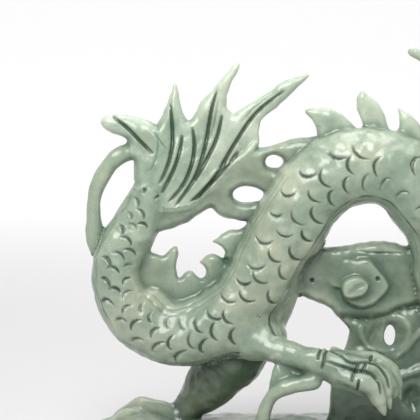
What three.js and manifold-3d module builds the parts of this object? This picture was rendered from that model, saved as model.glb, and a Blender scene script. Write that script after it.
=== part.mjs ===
// A carved jade dragon on a cloud base, in millimetres. +X runs towards the head, +Y away from the
// viewer, +Z up. The origin is under the middle of the base. The real carving is one stone, so each
// node is one region that the carver worked by itself, and neighbours stand a clearance apart.
import * as THREE from "three";
import { mergeVertices } from "three/addons/utils/BufferGeometryUtils.js";
import Module from "manifold-3d";

// ---- driving dimensions ----
const clearance = 0.3; // between neighbouring nodes
const baseLength = 258; // along X
const baseDepth = 72; // along Y
const baseHeight = 12;
const trunkRadius = 16.4; // at the top of the back
const trunkSides = 14;
const bladeThickness = 7;
const curlRadius = 3.5;
const webThickness = 9;
const slotHalfLength = 7;
const slotHalfHeight = 3.3;
const pocketRadius = 4;
const finThickness = 5;
const cloudThickness = 12;
const bowlRadius = 10;
const toeRadius = 3.3;
const clawRadius = 2.2;
const hornRadius = 5.2;
const maneRadius = 4.6;
const hindLegRadius = 7.6; // at the ankle
const foreLegRadius = 6.2; // at the wrist

// The spine from the root of the tail to the back of the head: x, y, z and a share of trunkRadius.
const spine = [
  [-99, 3, 116, 0.58],
  [-108, 2, 101, 0.64],
  [-114.5, 1, 85.5, 0.7],
  [-112.5, 0, 70.5, 0.73],
  [-104, 0, 59.5, 0.78],
  [-91, 0, 53, 0.83],
  [-75.5, 0, 54.5, 0.9],
  [-62, 0, 63, 0.96],
  [-52, 0, 75.5, 0.99],
  [-44.5, 0, 89.5, 0.99],
  [-37, 0, 103.5, 0.99],
  [-28, -0.5, 118, 0.99],
  [-15, -1, 128.5, 0.99],
  [1, -1, 131.5, 1],
  [16, -1, 126, 1.01],
  [27.5, 0, 113.5, 1.02],
  [34, 0.5, 97.5, 1.03],
  [36.5, 1, 79.5, 1.03],
  [42.5, 1, 61.5, 1.05],
  [55.5, 1, 51, 1.06],
  [71, 0, 52.5, 1.02],
  [81.5, -1, 65, 0.96],
  [83.5, -2, 82.5, 0.9],
  [79, -2, 99.5, 0.86],
  [74, -1, 115.5, 0.82],
  [75.5, 0, 140, 0.76],
];

// Where the trunk is divided: each name with the spine station at which it ends.
const trunkRegions = [
  ["tail_root", 3.5],
  ["rear_bend", 7.5],
  ["back_rise", 11],
  ["back_arch", 15],
  ["back_fall", 18],
  ["chest_bend", 21.5],
  ["neck", 25],
];

const jade = {
  pale: 0xb4cbb6,
  mid: 0x9dba9f,
  deep: 0x7f9f84,
};

// ---- shape helpers ----

// Radius at a curve parameter, from the fourth value of each station.
function radiusAt(stations, u) {
  const place = u * (stations.length - 1);
  const before = Math.min(Math.floor(place), stations.length - 2);
  return THREE.MathUtils.lerp(stations[before][3], stations[before + 1][3], place - before);
}

// A closed round body along a smooth curve through stations of x, y, z and radius. The section is
// flattened along Y by `flat`, and `grow` makes the room that a neighbour leaves for it.
function tube(stations, grow = 0, options = {}) {
  const { sides = 9, ringsPerSpan = 2, start = 0, end = 1, flat = 1 } = options;
  const curve = new THREE.CatmullRomCurve3(stations.map(([x, y, z]) => new THREE.Vector3(x, y, z)));
  const rings = Math.max(2, Math.round((stations.length - 1) * (end - start) * ringsPerSpan));
  const geometry = new THREE.CylinderGeometry(1, 1, 1, sides, rings);
  const position = geometry.getAttribute("position");
  const point = new THREE.Vector3();
  for (let i = 0; i < position.count; i++) {
    point.fromBufferAttribute(position, i);
    const u = start + (end - start) * (0.5 - point.y);
    const tangent = curve.getTangent(u);
    const across = new THREE.Vector3(0, 1, 0).addScaledVector(tangent, -tangent.y).normalize();
    const normal = new THREE.Vector3().crossVectors(across, tangent);
    const radius = radiusAt(stations, u) + grow;
    const centre = curve.getPoint(u);
    if (grow > 0 && point.y === 0.5) centre.addScaledVector(tangent, -grow);
    if (grow > 0 && point.y === -0.5) centre.addScaledVector(tangent, grow);
    centre.addScaledVector(normal, point.x * radius);
    centre.addScaledVector(across, point.z * radius * flat);
    position.setXYZ(i, centre.x, centre.y, centre.z);
  }
  return geometry;
}

// An outline in X and Z: each stroke is a smooth curve that starts where the last one ended, so
// corners come only between strokes.
function outlineOf(strokes) {
  const shape = new THREE.Shape();
  shape.moveTo(...strokes[0][0]);
  strokes.forEach((stroke, index) => {
    const points = index === 0 ? stroke.slice(1) : stroke;
    if (points.length === 1) shape.lineTo(...points[0]);
    else shape.splineThru(points.map(([x, z]) => new THREE.Vector2(x, z)));
  });
  return shape;
}

// A flat plate cut to an outline in X and Z and centred on the depth y. `grow` offsets the outline
// and both faces.
function plate(strokes, y, thickness, grow = 0) {
  const geometry = new THREE.ExtrudeGeometry(outlineOf(strokes), {
    depth: thickness,
    curveSegments: 1,
    bevelEnabled: grow > 0,
    bevelThickness: grow,
    bevelSize: 0,
    bevelOffset: grow,
    bevelSegments: 1,
  });
  return geometry.rotateX(Math.PI / 2).translate(0, y + thickness / 2, 0);
}

// An ellipsoid, for mounds and for the pockets that are cut out of plates.
function ellipsoid([x, y, z], [rx, ry, rz], grow = 0) {
  const geometry = new THREE.SphereGeometry(1, 14, 9);
  return geometry.scale(rx + grow, ry + grow, rz + grow).translate(x, y, z);
}

// ---- solids ----
const wasm = await Module();
wasm.setup();

function solidOf(geometry) {
  const bare = geometry.clone();
  bare.deleteAttribute("normal");
  bare.deleteAttribute("uv");
  const merged = mergeVertices(bare, 1e-4);
  return new wasm.Manifold(
    new wasm.Mesh({
      numProp: 3,
      vertProperties: new Float32Array(merged.getAttribute("position").array),
      triVerts: new Uint32Array(merged.index.array),
    }),
  );
}

function geometryOf(solid) {
  const mesh = solid.getMesh();
  const geometry = new THREE.BufferGeometry();
  geometry.setAttribute("position", new THREE.BufferAttribute(mesh.vertProperties, 3));
  geometry.setIndex(new THREE.BufferAttribute(mesh.triVerts, 1));
  geometry.computeVertexNormals();
  return geometry;
}

// The main body of a solid, without the crumbs that a cut can leave beside it.
function mainBody(solid) {
  return solid.decompose().reduce((best, body) => (body.volume() > best.volume() ? body : best));
}

const figurine = new THREE.Group();
const fitted = []; // the solids placed so far, each grown by the clearance

// Adds a node. `shape(grow)` gives its geometries, and everything placed before it is cut away, so
// the order of the calls says which piece yields to which.
function addNode(name, colour, shape, cuts = []) {
  const unite = (grow) => shape(grow).map(solidOf).reduce((sum, part) => sum.add(part));
  let solid = unite(0);
  for (const cut of cuts) solid = solid.subtract(solidOf(cut));
  for (const earlier of fitted) solid = solid.subtract(earlier);
  fitted.push(unite(clearance));
  const material = new THREE.MeshStandardMaterial({ color: colour, roughness: 0.22, metalness: 0 });
  const mesh = new THREE.Mesh(geometryOf(mainBody(solid)), material);
  mesh.name = name;
  figurine.add(mesh);
}

// ---- trunk ----
function addTrunk() {
  const stations = spine.map(([x, y, z, share]) => [x, y, z, share * trunkRadius]);
  const spans = spine.length - 1;
  let from = 0;
  for (const [name, to] of trunkRegions) {
    const options = { sides: trunkSides, start: from / spans, end: to / spans };
    addNode(name, jade.mid, (grow) => [tube(stations, grow, options)]);
    from = to;
  }
}

// ---- head ----
function addHead() {
  const skull = [
    [66, 0, 147, 12],
    [79, 0, 152, 14],
    [92, 0, 153.5, 11.5],
    [105, 0, 153, 8.6],
    [116, 0, 155.5, 8.4],
    [124, 0, 157, 5],
  ];
  const jaw = [
    [80, 0, 139, 8],
    [93, 0, 135.5, 6.6],
    [106, 0, 134, 5.6],
    [116, 0, 136.5, 3.6],
  ];
  const tongue = [
    [88, 0, 142.5, 2.4],
    [98, 0, 141.5, 2.4],
    [107, 0, 142, 2],
    [113, 0, 144, 1.2],
  ];
  const sides = [-1, 1];
  const brows = (grow) => sides.map((side) => ellipsoid([88, side * 9, 160], [6.5, 4, 3.6], grow));
  const ear = (side) => [
    [76, side * 11, 152, 4],
    [66, side * 15, 156, 4.2],
    [58, side * 17, 160.5, 1.2],
  ];
  const ears = (grow) => sides.map((side) => tube(ear(side), grow, { flat: 0.6 }));
  addNode("skull", jade.pale, (grow) => [
    tube(skull, grow, { sides: 14 }),
    ...brows(grow),
    ...ears(grow),
  ]);
  addNode("lower_jaw", jade.mid, (grow) => [tube(jaw, grow, { flat: 1.25 })]);
  addNode("tongue", jade.pale, (grow) => [tube(tongue, grow, { flat: 1.8, ringsPerSpan: 1 })]);
  for (const [name, side] of [
    ["near", -1],
    ["far", 1],
  ]) {
    const horn = [
      [76, side * 7, 160, hornRadius],
      [60, side * 9, 168, hornRadius],
      [44, side * 10, 172, hornRadius * 0.9],
      [30, side * 9.5, 176.5, hornRadius * 0.7],
      [19, side * 8, 181, hornRadius * 0.35],
    ];
    const whisker = [
      [119, side * 8, 152, 2],
      [113, side * 12, 146, 2],
      [104, side * 13.5, 144.5, 1.9],
      [96, side * 14, 149, 1.7],
      [90, side * 15.5, 150.5, 1],
    ];
    addNode(`horn_${name}`, jade.pale, (grow) => [tube(horn, grow)]);
    addNode(`whisker_${name}`, jade.pale, (grow) => [tube(whisker, grow, { sides: 7 })]);
  }
}

// The locks of the mane sweep back from the cheeks and the nape, one above the other.
function addMane() {
  const locks = [
    [0, 70, 152, 26, 165],
    [-8, 68, 143, 34, 146],
    [8, 68, 143, 34, 146],
    [0, 66, 134, 40, 127],
  ];
  locks.forEach(([y, startX, startZ, tipX, tipZ], index) => {
    const run = tipX - startX;
    const drop = tipZ - startZ;
    const lock = [
      [startX, y, startZ, maneRadius * 1.4],
      [startX + run * 0.3, y * 1.4, startZ + drop * 0.1 + 3, maneRadius * 1.2],
      [startX + run * 0.65, y * 1.5, startZ + drop * 0.5 - 1, maneRadius],
      [tipX, y * 1.3, tipZ, maneRadius * 0.3],
    ];
    addNode(`mane_lock_${index + 1}`, jade.pale, (grow) => [tube(lock, grow, { flat: 0.9 })]);
  });
  const beard = [
    [[92, 131], [88, 122], [81, 113]],
    [[86, 118], [95, 124], [101, 130]],
  ];
  addNode("beard", jade.mid, (grow) => [plate(beard, 0, finThickness, grow)]);
}

// ---- legs ----

// A toe with the claw that carries on from its tip and droops.
function toeShape(toe, grow) {
  const tip = new THREE.Vector3(...toe.at(-1));
  const forward = tip.clone().sub(new THREE.Vector3(...toe.at(-2))).normalize();
  const clawStation = (ahead, drop, share) => {
    const place = tip.clone().addScaledVector(forward, ahead);
    return [place.x, place.y, place.z - drop, clawRadius * share];
  };
  const claw = [clawStation(-1.5, 0, 1), clawStation(3.6, 0.4, 0.75), clawStation(6.6, 1.6, 0.3)];
  const digit = toe.map(([x, y, z, share]) => [x, y, z, share * toeRadius]);
  return [tube(digit, grow, { sides: 8 }), tube(claw, grow, { sides: 6, ringsPerSpan: 1 })];
}

// A foot is a palm with three toes. A near foot has each toe as its own node; a far one is whole.
function addFoot(name, palm, toes, whole = false) {
  const palmShape = (grow) => tube(palm, grow, { flat: 0.85 });
  if (whole) {
    addNode(name, jade.deep, (grow) => [palmShape(grow), ...toes.flatMap((toe) => toeShape(toe, grow))]);
    return;
  }
  addNode(`${name}_palm`, jade.pale, (grow) => [palmShape(grow)]);
  toes.forEach((toe, index) => {
    addNode(`${name}_toe_${index + 1}`, jade.pale, (grow) => toeShape(toe, grow));
  });
}

function addHindLegs() {
  const nearLeg = [
    [-58, -5, 55.5, hindLegRadius * 1.6],
    [-47, -12, 50.5, hindLegRadius],
    [-38.5, -16, 48.2, hindLegRadius * 0.82],
    [-33.2, -18.5, 46.6, hindLegRadius * 0.82],
    [-24, -22, 45.2, hindLegRadius * 0.86],
  ];
  const nearPalm = [
    [-23, -23, 45, 6.4],
    [-13.5, -25, 41.5, 8],
    [-4.5, -25.5, 38.5, 8.2],
    [3, -24.5, 36, 6.6],
    [7.5, -23, 32, 4.6],
  ];
  const nearToes = [
    [
      [-17, -20, 49, 0.85],
      [-11, -20, 46.6, 0.95],
      [-3.4, -20, 46.3, 1],
      [3, -20.5, 45, 1],
      [8, -21, 41, 1],
      [10.4, -21.5, 34.5, 0.9],
    ],
    [
      [-19.5, -24.5, 48, 0.85],
      [-14, -26, 46, 1],
      [-8.5, -27, 43.4, 1],
      [-2, -27.5, 42.8, 1.05],
      [3.4, -27.5, 38.8, 1],
      [5.6, -27.5, 32, 0.9],
    ],
    [
      [-15, -29, 40, 1],
      [-7, -31, 38, 1.3],
      [-1, -31.5, 35.5, 1.35],
      [2, -31, 29.5, 1],
    ],
  ];
  const spur = [
    [-26, -23, 36, 3.6],
    [-35, -22, 34, 3.5],
    [-42.5, -21, 31, 3.3],
    [-46.5, -20, 25.5, 3],
    [-48.5, -20, 18, 3.6],
    [-50.5, -20, 10, 4.6],
  ];
  const heelWeb = [
    [[-42.5, 44], [-36, 47], [-27, 43]],
    [[-27, 33]],
    [[-36, 32], [-46, 28]],
    [[-45.5, 35], [-42.5, 44]],
  ];
  const farLeg = [
    [-58, 8, 56, hindLegRadius * 1.9],
    [-65, 12, 42, hindLegRadius * 1.95],
    [-71, 14, 30, hindLegRadius * 1.55],
    [-79, 15, 21, hindLegRadius],
    [-86, 15, 13, hindLegRadius * 0.8],
  ];
  const farPalm = [
    [-86, 14, 12, 6],
    [-95, 13, 15, 6.2],
    [-103, 12, 16.5, 6.4],
    [-110, 11, 13, 4.6],
  ];
  const farToes = [-7, 0, 7].map((spread) => [
    [-103, 12 + spread * 0.5, 16, 0.95],
    [-110, 12 + spread, 15.5, 1],
    [-115, 12 + spread * 1.2, 11, 0.8],
  ]);
  addNode("hind_leg_near", jade.mid, (grow) => [tube(nearLeg, grow, { sides: 12 })]);
  addFoot("hind_foot_near", nearPalm, nearToes);
  addNode("heel_spur", jade.pale, (grow) => [tube(spur, grow), plate(heelWeb, -18, finThickness, grow)]);
  addNode("hind_leg_far", jade.deep, (grow) => [tube(farLeg, grow, { sides: 12 })]);
  addFoot("hind_foot_far", farPalm, farToes, true);
}

function addForeLegs() {
  const nearLeg = [
    [66, -7, 60, foreLegRadius * 1.9],
    [76, -14, 51, foreLegRadius * 1.5],
    [85, -18, 41, foreLegRadius * 1.1],
    [92, -19, 32, foreLegRadius],
  ];
  const nearPalm = [
    [92, -19, 32, 6],
    [100, -19, 25.5, 6.4],
    [106, -19, 22.5, 4.6],
  ];
  const nearToes = [-6, 0, 6].map((spread) => [
    [99, -19 + spread * 0.6, 27, 0.9],
    [108, -19 + spread, 26, 1],
    [114, -19 + spread * 1.2, 21, 0.85],
  ]);
  const farLeg = [
    [68, 8, 62, foreLegRadius * 1.8],
    [82, 16, 62, foreLegRadius * 1.45],
    [93, 20, 68, foreLegRadius * 1.1],
    [100, 21, 78, foreLegRadius],
  ];
  const farPalm = [
    [100, 21, 78, 5.8],
    [104, 21, 86, 6.2],
    [107, 21, 92, 4.6],
  ];
  const farToes = [-6, 0, 6].map((spread) => [
    [104, 21 + spread * 0.6, 88, 0.9],
    [109, 21 + spread, 96, 1],
    [116, 21 + spread * 1.2, 97, 0.85],
  ]);
  addNode("fore_leg_near", jade.mid, (grow) => [tube(nearLeg, grow, { sides: 12 })]);
  addFoot("fore_foot_near", nearPalm, nearToes);
  addNode("fore_leg_far", jade.deep, (grow) => [tube(farLeg, grow, { sides: 12 })]);
  addFoot("fore_foot_far", farPalm, farToes, true);
}

// ---- tail ----

// Four flames fan out from the root of the tail. Each is bounded by a tip and by the valley lines
// that it shares with its neighbours.
function addTailBlades() {
  const valleys = [
    [[-105, 116], [-105.5, 127], [-106.5, 136]],
    [[-98, 114], [-96.5, 128], [-95, 138], [-95.9, 147.6]],
    [[-92, 113], [-86, 129], [-82.5, 139.5], [-81.9, 149.4]],
    [[-87, 113], [-82, 120.5], [-73, 133.5], [-66.5, 144], [-62.1, 153.5]],
    [[-81, 114], [-74.3, 120.6], [-65.3, 127.4], [-56.3, 132.8], [-50.4, 138.6]],
  ];
  const tips = [
    [
      [[-109, 142], [-114, 143.5], [-119.5, 147]],
      [[-121.2, 150], [-119, 152.4]],
      [[-108.5, 152.5], [-99.5, 150.3]],
    ],
    [[[-92.5, 155.3], [-90, 162], [-88.2, 167.6]], [[-87, 167]], [[-85.5, 159.8], [-83.8, 153]]],
    [
      [[-77.4, 156.2], [-72, 163.4], [-65.3, 171], [-58.5, 177.3]],
      [[-59.4, 173.3], [-64.2, 164.3], [-64.6, 156.5]],
    ],
    [
      [[-54, 158.4], [-45, 164.3], [-36, 168.8], [-28, 171.7]],
      [[-27, 170.6]],
      [[-36.9, 161.1], [-42.8, 156.2], [-48.2, 150.8], [-50.2, 144.9]],
    ],
  ];
  const names = ["tail_flame_left", "tail_flame_short", "tail_flame_tall", "tail_flame_right"];
  const depths = [3, 4.5, 3, 1.5];
  names.forEach((name, index) => {
    const strokes = [valleys[index], ...tips[index], valleys[index + 1].toReversed()];
    addNode(name, jade.pale, (grow) => [plate(strokes, depths[index], bladeThickness, grow)]);
  });
}

function addTailCurl() {
  const curl = [
    [-105, 2, 138, curlRadius * 1.3],
    [-113, 2, 134.5, curlRadius * 1.2],
    [-119.5, 2, 127.5, curlRadius],
    [-123.5, 2, 118, curlRadius],
    [-124.5, 2, 108, curlRadius],
    [-123.5, 1.5, 98, curlRadius * 1.2],
    [-120, 1, 89, curlRadius * 1.4],
  ];
  addNode("tail_curl", jade.pale, (grow) => [tube(curl, grow)]);
}

// A web of stone ties the tail to the rising back. A slot and a drilled pocket go through it.
function addTailWeb() {
  const strokes = [
    [[-50, 138], [-44.5, 139], [-36, 142], [-23.5, 143]],
    [[-23.5, 128]],
    [[-46, 103.5]],
    [[-57, 105.5], [-66, 106.5], [-71.5, 111]],
    [[-78.8, 106.2], [-86, 102.6], [-98, 100]],
    [[-96, 112]],
    [[-81, 113.5]],
    [[-74.3, 120.2], [-65.3, 127], [-56.3, 132.4], [-50, 138]],
  ];
  const through = webThickness * 2;
  const slot = ellipsoid([-55, 1, 117.2], [slotHalfLength, through, slotHalfHeight]);
  const pocket = ellipsoid([-43, 1, 132], [pocketRadius * 1.15, through, pocketRadius * 0.9]);
  addNode("tail_web", jade.mid, (grow) => [plate(strokes, 1, webThickness, grow)], [slot, pocket]);
}

// ---- fins ----

// The comb inside the rear bend: irregular lobes left between drilled notches.
function addRearComb() {
  const lobes = [
    [
      [[-106, 92], [-97, 91], [-94.5, 89.7], [-92, 90.5], [-88, 94.5], [-86, 92], [-87.3, 84]],
      [[-86.6, 80]],
      [[-84.8, 62]],
      [[-104, 70]],
    ],
    [[[-86, 79.6], [-84.5, 80.2], [-81.5, 83], [-76.6, 80]], [[-76.6, 62]], [[-84.2, 62]]],
    [
      [[-77.5, 86.5], [-73, 90], [-70, 90.5], [-67.5, 89.5]],
      [[-57, 79]],
      [[-66, 62]],
      [[-76.1, 62]],
      [[-76.1, 79.5]],
      [[-74, 81.5], [-75, 85], [-77.5, 86.5]],
    ],
    [
      [[-72, 96], [-68.5, 97.5], [-65, 101], [-60.5, 101], [-54, 104]],
      [[-46, 96]],
      [[-52, 78]],
      [[-66, 89.2]],
      [[-65.5, 92], [-68.5, 95], [-72, 96]],
    ],
  ];
  lobes.forEach((strokes, index) => {
    addNode(`rear_comb_${index + 1}`, jade.mid, (grow) => [plate(strokes, 0, finThickness, grow)]);
  });
}

// Three fins stand on top of the arch, leaning back towards the tail.
function addArchFins() {
  const fins = [
    [
      [[-30, 155], [-24, 157], [-15, 155], [-9.5, 150.5], [-4, 146]],
      [[-9, 138]],
      [[-22, 136]],
      [[-23.5, 145], [-26, 149], [-30, 155]],
    ],
    [
      [[-3.5, 146.8], [-5, 151], [-5.5, 154], [-7, 158.5], [-4.5, 164.5], [-1, 161.5]],
      [[2.5, 159.5], [6, 155], [9.5, 145.5]],
      [[7, 138]],
      [[-4, 138]],
    ],
    [
      [[12.3, 146.5], [12.5, 151.5], [11, 156.8]],
      [[14, 156.5], [19.5, 151.5], [22.5, 147.5], [30, 137]],
      [[22, 126]],
      [[12, 136]],
    ],
  ];
  fins.forEach((strokes, index) => {
    addNode(`arch_fin_${index + 1}`, jade.mid, (grow) => [plate(strokes, -1, finThickness, grow)]);
  });
}

// A leaning fin at a spine station, on the side of the back that `side` gives (1 is outwards).
function leaningFin(station, side, height, width) {
  const curve = new THREE.CatmullRomCurve3(spine.map(([x, y, z]) => new THREE.Vector3(x, y, z)));
  const u = station / (spine.length - 1);
  const centre = curve.getPoint(u);
  const along = curve.getTangent(u).setY(0).normalize();
  const out = new THREE.Vector3(-along.z * side, 0, along.x * side);
  const root = trunkRadius * spine[Math.round(station)][3] * 0.7;
  const at = (ahead, away) => [
    centre.x + along.x * ahead + out.x * away,
    centre.z + along.z * ahead + out.z * away,
  ];
  const top = trunkRadius * spine[Math.round(station)][3] + height;
  const strokes = [
    [at(-width / 2, root), at(-width * 0.55, (root + top) / 2), at(-width * 0.7, top)],
    [at(0, top - height * 0.25), at(width / 2, root)],
  ];
  return side > 0 ? strokes.toReversed().map((stroke) => stroke.toReversed()) : strokes;
}

function addPlainFins() {
  const rows = [
    ["fall_fin", [16, 17.2], 1, 8],
    ["front_comb", [19.6], 1, 7],
    ["neck_fin", [22, 23.3], 1, 8],
  ];
  for (const [row, stations, side, height] of rows) {
    stations.forEach((station, index) => {
      const strokes = leaningFin(station, side, height, 15);
      addNode(`${row}_${index + 1}`, jade.mid, (grow) => [plate(strokes, 0, finThickness, grow)]);
    });
  }
}

// ---- clouds and base ----
function addClouds() {
  const scroll = [
    [[-36, 90], [-19.5, 93.5], [-9, 94], [2, 96], [17, 93], [30, 92]],
    [[34, 66]],
    [[22.5, 68], [13.5, 65], [4.5, 61.8], [-4.5, 61], [-14.5, 61.8]],
    [[-18, 65], [-26, 69], [-40, 72]],
  ];
  const stem = [
    [[-14, 61.3], [-4.5, 60.5], [4.5, 61.3], [13.5, 64.5], [22.5, 67.5], [40, 64]],
    [[30, 38], [31, 6]],
    [[-22, 6]],
    [[-17.5, 20], [-17, 35], [-12, 45], [-8.5, 54], [-14, 61.3]],
  ];
  const chest = [
    [[42, 6], [44, 18], [50, 24], [52, 40]],
    [[76, 40]],
    [[74, 26], [82, 18], [84, 6]],
  ];
  const bowl = ellipsoid([7, 4 - cloudThickness / 2, 55], [bowlRadius, 5, bowlRadius * 0.8]);
  const hollow = ellipsoid([20, 4 - cloudThickness / 2, 25], [6, 5, 7]);
  const opening = ellipsoid([9.5, 4, 53], [2.2, cloudThickness, 4.8]); // through the bowl's floor
  addNode("cloud_scroll", jade.mid, (grow) => [plate(scroll, 4, cloudThickness, grow)]);
  addNode("cloud_stem", jade.deep, (grow) => [plate(stem, 4, cloudThickness, grow)], [
    bowl,
    hollow,
    opening,
  ]);
  addNode("cloud_under_chest", jade.deep, (grow) => [plate(chest, 0, cloudThickness * 1.5, grow)]);
  const mounds = [
    [[-104, 8, 10], [15, 15, 7]],
    [[-34, -10, 10.5], [17, 18, 8]],
    [[100, -14, 10.5], [22, 14, 8]],
    [[60, 14, 11.5], [26, 16, 9]],
  ];
  mounds.forEach(([centre, radii], index) => {
    addNode(`cloud_mound_${index + 1}`, jade.deep, (grow) => [ellipsoid(centre, radii, grow)]);
  });
}

// The base is a low slab with a scalloped cloud edge and a flat underside.
function addBase() {
  const scallops = 16; // a multiple of four, so that the slab keeps its full length and depth
  const scallopDepth = 2.5;
  const shape = new THREE.Shape();
  const steps = scallops * 4;
  for (let i = 0; i < steps; i++) {
    const angle = (2 * Math.PI * i) / steps;
    const inset = scallopDepth * Math.sin((scallops * angle) / 2) ** 2;
    const roundness = 0.55; // a superellipse, between an ellipse and a rectangle
    const x = Math.sign(Math.cos(angle)) * Math.abs(Math.cos(angle)) ** roundness;
    const y = Math.sign(Math.sin(angle)) * Math.abs(Math.sin(angle)) ** roundness;
    const point = [x * (baseLength / 2 - inset), y * (baseDepth / 2 - inset)];
    if (i === 0) shape.moveTo(...point);
    else shape.lineTo(...point);
  }
  const bevel = 2;
  const slab = new THREE.ExtrudeGeometry(shape, {
    depth: baseHeight - 2 * bevel,
    bevelThickness: bevel,
    bevelSize: bevel,
    bevelOffset: -bevel,
    bevelSegments: 1,
  }).translate(0, 0, bevel);
  addNode("cloud_base", jade.deep, () => [slab]);
}

addTrunk();
addHead();
addHindLegs();
addForeLegs();
addTailBlades();
addTailCurl();
addTailWeb();
addRearComb();
addArchFins();
addPlainFins();
addMane();
addClouds();
addBase();

export default figurine;
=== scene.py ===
"""The looks of a carved jade dragon: one polished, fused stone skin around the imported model.

The stone is worked out in millimetres on a grid of signed distances (negative inside), then meshed,
engraved along its surface, divided into one closed piece for each region and coloured.
"""

import math

import bpy
import numpy as np
import openvdb as vdb
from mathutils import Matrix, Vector


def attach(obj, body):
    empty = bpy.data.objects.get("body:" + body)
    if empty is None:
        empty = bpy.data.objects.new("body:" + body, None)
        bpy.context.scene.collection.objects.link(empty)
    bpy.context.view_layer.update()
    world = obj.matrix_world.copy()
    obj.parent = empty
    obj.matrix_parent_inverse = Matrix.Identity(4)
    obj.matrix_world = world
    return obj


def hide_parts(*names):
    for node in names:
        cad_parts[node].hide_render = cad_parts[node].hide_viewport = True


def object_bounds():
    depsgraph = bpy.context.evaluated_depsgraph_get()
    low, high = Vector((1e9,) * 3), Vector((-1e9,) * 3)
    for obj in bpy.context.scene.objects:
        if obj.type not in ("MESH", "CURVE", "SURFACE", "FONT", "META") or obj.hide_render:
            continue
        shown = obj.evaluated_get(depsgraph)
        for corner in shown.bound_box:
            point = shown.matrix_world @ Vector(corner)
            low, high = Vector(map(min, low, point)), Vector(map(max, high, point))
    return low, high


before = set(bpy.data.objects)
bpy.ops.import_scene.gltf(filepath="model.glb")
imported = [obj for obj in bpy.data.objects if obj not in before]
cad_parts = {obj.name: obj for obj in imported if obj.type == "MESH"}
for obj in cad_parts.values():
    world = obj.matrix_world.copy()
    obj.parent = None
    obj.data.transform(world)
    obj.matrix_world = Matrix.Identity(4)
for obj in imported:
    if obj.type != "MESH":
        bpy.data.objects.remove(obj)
cad_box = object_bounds()

MM = 0.001
AIM = (-72, 0, 110.25)  # what the camera looks at
EYE_DISTANCE = 1.0  # in metres
EYE_ELEVATION = math.radians(5)
VIEW_WIDTH = 0.189  # of what the camera sees at AIM, in metres
STEP = 0.5  # grid spacing
PAD = 4.0  # how far around a shape its distances are worked out
SEED = 7

# ================================================================ grid

lowest = np.array(cad_box[0]) / MM
highest = np.array(cad_box[1]) / MM
first = np.floor((lowest - PAD) / STEP).astype(int)
count = np.ceil((highest + PAD) / STEP).astype(int) - first + 1
AXES = [((first[a] + np.arange(count[a])) * STEP).astype(np.float32) for a in range(3)]

stone = np.full(count, PAD, np.float32)  # the fused shape
nearest = np.full(count, 2 * PAD, np.float32)  # distance to the closest region taken by itself
owner = np.full(count, -1, np.int8)  # and that region's number
regions = []  # region names, in order of their numbers


def window(low, high):
    """Slices of the grid that cover a box, and the coordinates along its three axes."""
    begin = np.clip(np.floor(np.asarray(low) / STEP).astype(int) - first, 0, count - 1)
    end = np.clip(np.ceil(np.asarray(high) / STEP).astype(int) - first + 1, 1, count)
    cut = tuple(slice(int(b), int(e)) for b, e in zip(begin, end))
    x, y, z = (AXES[a][cut[a]] for a in range(3))
    return cut, (x[:, None, None], y[None, :, None], z[None, None, :])


FILLET_FULL = 1.0  # a fillet is at its full size up to this far from the surface
FILLET_GONE = 3.4  # and has faded away this far from it


def smooth_min(a, b, k):
    """The smaller of two distances, with a fillet of about k where they meet near the surface."""
    fade = (FILLET_GONE - np.minimum(a, b)) / (FILLET_GONE - FILLET_FULL)
    k = k * np.clip(fade, 0.001, 1)
    h = np.clip(0.5 + 0.5 * (b - a) / k, 0, 1)
    return b + (a - b) * h - k * h * (1 - h)


def join(cut, distance, fillet):
    """Adds a shape to the stone."""
    stone[cut] = smooth_min(stone[cut], distance, fillet)


def claim(name, cut, distance):
    """Lets a region own the grid points that it is closest to."""
    if name not in regions:
        regions.append(name)
    closer = distance < nearest[cut]
    nearest[cut] = np.where(closer, distance, nearest[cut])
    owner[cut] = np.where(closer, regions.index(name), owner[cut])


def carve(cut, distance, fillet):
    """Takes a shape away from the stone."""
    stone[cut] = -smooth_min(-stone[cut], distance, fillet)


# ================================================================ round shapes


def sampled(stations, per_span=5, start=0.0, end=None):
    """Points and radii along a smooth curve through stations of x, y, z and radius."""
    s = np.array(stations, float)
    s = np.vstack([2 * s[0] - s[1], s, 2 * s[-1] - s[-2]])
    last = len(stations) - 1
    end = last if end is None else end
    u = np.linspace(start, end, max(2, round((end - start) * per_span)) + 1)
    i = np.minimum(u.astype(int), last - 1)
    t = (u - i)[:, None]
    a, b, c, d = s[i], s[i + 1], s[i + 2], s[i + 3]
    cubic = 2 * b + (c - a) * t + (2 * a - 5 * b + 4 * c - d) * t**2 + (3 * b - a - 3 * c + d) * t**3
    cubic /= 2
    cubic[:, 3] = ((1 - t) * b + t * c)[:, 3]
    return cubic


def tube_distance(points, flat=1.0):
    """Distance to a round body along sampled points, flattened along Y by a share."""
    wide = max(1.0, flat)
    reach = points[:, 3].max() * wide + PAD
    cut, _ = window((points[:, :3] - reach).min(0), (points[:, :3] + reach).max(0))
    out = np.full([c.stop - c.start for c in cut], PAD, np.float32)
    for a, b in zip(points[:-1], points[1:]):
        reach = max(a[3], b[3]) * wide + PAD
        part, (x, y, z) = window(np.minimum(a, b)[:3] - reach, np.maximum(a, b)[:3] + reach)
        ab = (b - a)[:3]
        dx, dy, dz = x - a[0], y - a[1], z - a[2]
        t = np.clip((dx * ab[0] + dy * ab[1] + dz * ab[2]) / (ab @ ab), 0, 1)
        dx, dy, dz = dx - t * ab[0], (dy - t * ab[1]) / flat, dz - t * ab[2]
        distance = np.sqrt(dx * dx + dy * dy + dz * dz) - (a[3] + t * (b[3] - a[3]))
        inner = tuple(slice(p.start - c.start, p.stop - c.start) for p, c in zip(part, cut))
        out[inner] = np.minimum(out[inner], distance)
    return cut, out


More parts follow.
